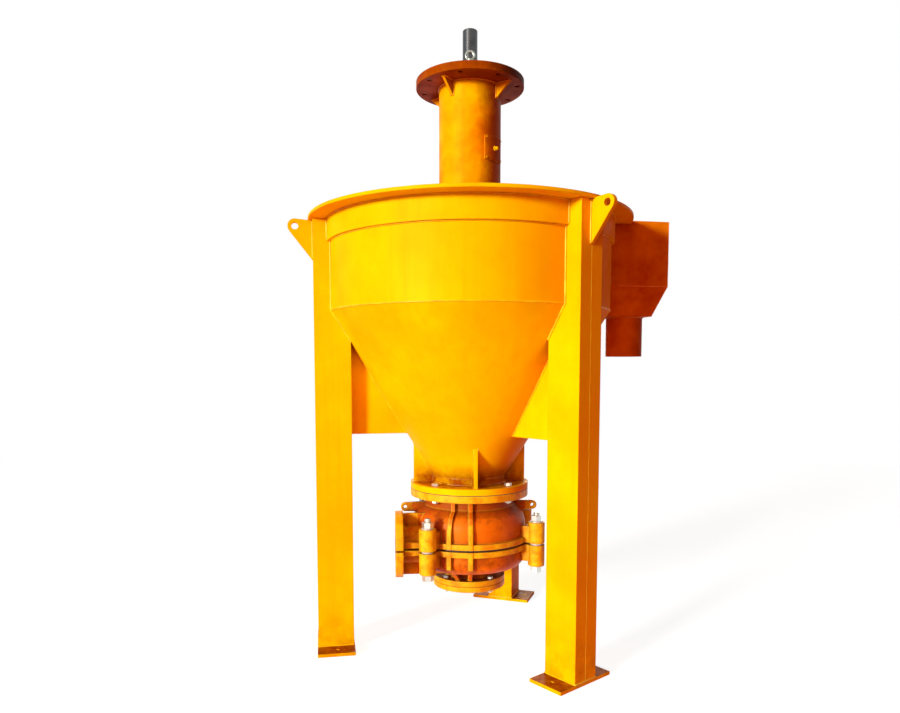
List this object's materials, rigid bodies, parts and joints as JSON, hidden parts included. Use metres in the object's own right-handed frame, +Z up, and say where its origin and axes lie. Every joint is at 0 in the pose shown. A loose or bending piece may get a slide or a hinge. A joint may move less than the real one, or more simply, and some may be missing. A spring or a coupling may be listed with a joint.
{
  "type": "vertical froth pump",
  "caption": "Vertical scum and froth pump: open conical tank on channel legs, top bearing column with bare shaft, side overflow box and split lined pump below.",
  "frame": {"origin": "on the shaft axis at floor level, the centre of the circle through the foot plates' anchor holes", "axes": "+Z up along the shaft axis; +X towards the overflow box; the three legs stand at 60, 180 and 300 degrees from +X"},
  "size_m": [1.404, 1.2, 2.291],
  "materials": {
    "tank_paint": "glossy yellow-orange paint on fabricated plate",
    "casing_paint": "orange paint on rough castings",
    "bare_iron": "machined cast iron",
    "zinc_plate": "zinc plated fasteners",
    "bright_steel": "ground steel",
    "brass": "plain brass",
    "black_rubber": "moulded black rubber"
  },
  "bodies": {
    "frame": {"tank_shell": "tank_paint", "rim_band": "tank_paint", "rim_plate": "tank_paint", "tank_cone": "tank_paint", "tank_flange": "tank_paint", "flange_fins": "tank_paint", "left_leg": "tank_paint", "right_leg": "tank_paint", "rear_leg": "tank_paint", "foot_plates": "tank_paint", "leg_gussets": "tank_paint", "lifting_lugs": "tank_paint", "overflow_box": "tank_paint", "overflow_pipe": "tank_paint", "cross_beams": "tank_paint", "column_base": "tank_paint", "base_gussets": "tank_paint", "column_tube": "tank_paint", "inspection_cover": "tank_paint", "top_flange": "tank_paint", "top_gussets": "tank_paint", "cover_fasteners": "tank_paint", "upper_casing": "casing_paint", "casing_ears": "casing_paint", "lower_casing": "casing_paint", "bottom_cover": "casing_paint", "bearing_housing": "bare_iron", "upper_bearing_cover": "bare_iron", "lower_bearing_cover": "bare_iron", "base_bolts": "zinc_plate", "base_nuts": "zinc_plate", "flange_eyebolts": "zinc_plate", "housing_bolts": "zinc_plate", "bearing_cover_bolts": "zinc_plate", "tank_flange_bolts": "zinc_plate", "tank_flange_nuts": "zinc_plate", "bottom_bolts": "zinc_plate", "bottom_nuts": "zinc_plate", "casing_studs": "zinc_plate", "casing_nuts": "zinc_plate", "casing_washers": "zinc_plate", "upper_outer_race": "bright_steel", "lower_outer_race": "bright_steel", "grease_nipple": "brass", "flange_gasket": "black_rubber", "upper_liner": "black_rubber", "lower_liner": "black_rubber", "discharge_sleeve": "black_rubber", "throat_bush": "black_rubber", "shaft_seals": "black_rubber"},
    "rotor": {"pump_shaft": "bright_steel", "bearing_locknut": "bright_steel", "slinger": "black_rubber", "impeller": "bare_iron", "upper_inner_race": "bright_steel", "lower_inner_race": "bright_steel"},
    "upper_roller_set": {"upper_rollers": "bright_steel", "upper_cage": "brass"},
    "lower_roller_set": {"lower_rollers": "bright_steel", "lower_cage": "brass"}
  },
  "joints": [
    {"name": "shaft_spin", "type": "hinge", "parent": "frame", "child": "rotor", "pos_m": [0, 0, 1], "axis": [0, 0, 1], "continuous": true},
    {"name": "upper_rollers_turn", "type": "hinge", "parent": "frame", "child": "upper_roller_set", "pos_m": [0, 0, 2.09], "axis": [0, 0, 1], "continuous": true},
    {"name": "lower_rollers_turn", "type": "hinge", "parent": "frame", "child": "lower_roller_set", "pos_m": [0, 0, 1.67], "axis": [0, 0, 1], "continuous": true}
  ],
  "couplings": [
    {"joint": "upper_rollers_turn", "follows": "shaft_spin", "ratio": 0.4008},
    {"joint": "lower_rollers_turn", "follows": "shaft_spin", "ratio": 0.403}
  ]
}
